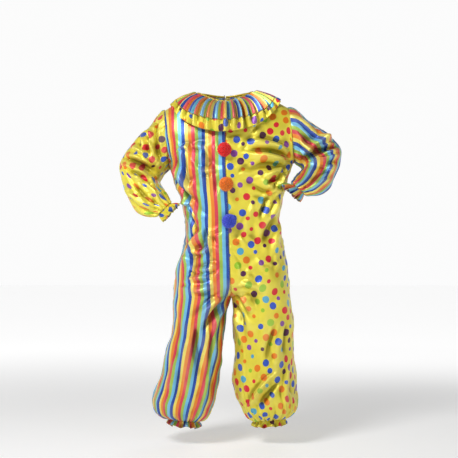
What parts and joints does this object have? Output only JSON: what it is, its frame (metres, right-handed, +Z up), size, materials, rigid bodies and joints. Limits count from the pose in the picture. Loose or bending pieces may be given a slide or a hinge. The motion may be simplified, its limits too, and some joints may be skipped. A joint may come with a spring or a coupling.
{
  "type": "clown costume",
  "caption": "Clown jumpsuit in striped and dotted satin, as worn with the hands on the hips: pleated collar, balloon sleeves, gathered cuffs and ankles, pompoms down the front.",
  "frame": {"origin": "middle of the neck's base, between the shoulders that carry the garment", "axes": "+Z up along the body, -Y out of the chest, +X towards the wearer's left hand"},
  "size_m": [0.9333, 0.3884, 1.4091],
  "materials": {
    "striped_satin": "satin",
    "dotted_satin": "satin",
    "yellow_satin": "satin",
    "pompom_red": "fluffy",
    "pompom_orange": "fluffy",
    "pompom_blue": "fluffy"
  },
  "bodies": {
    "root": {"front_striped": "striped_satin", "back_striped": "striped_satin", "front_dotted": "dotted_satin", "back_dotted": "dotted_satin", "sleeve_dotted": "dotted_satin", "sleeve_striped": "striped_satin", "collar_flounce": "striped_satin", "collar_band": "dotted_satin", "neck_binding": "yellow_satin", "cuff_frill_dotted": "dotted_satin", "cuff_frill_striped": "striped_satin", "ankle_frill_striped": "striped_satin", "ankle_frill_dotted": "dotted_satin", "pompom_red": "pompom_red", "pompom_orange": "pompom_orange", "pompom_blue": "pompom_blue"}
  },
  "joints": []
}
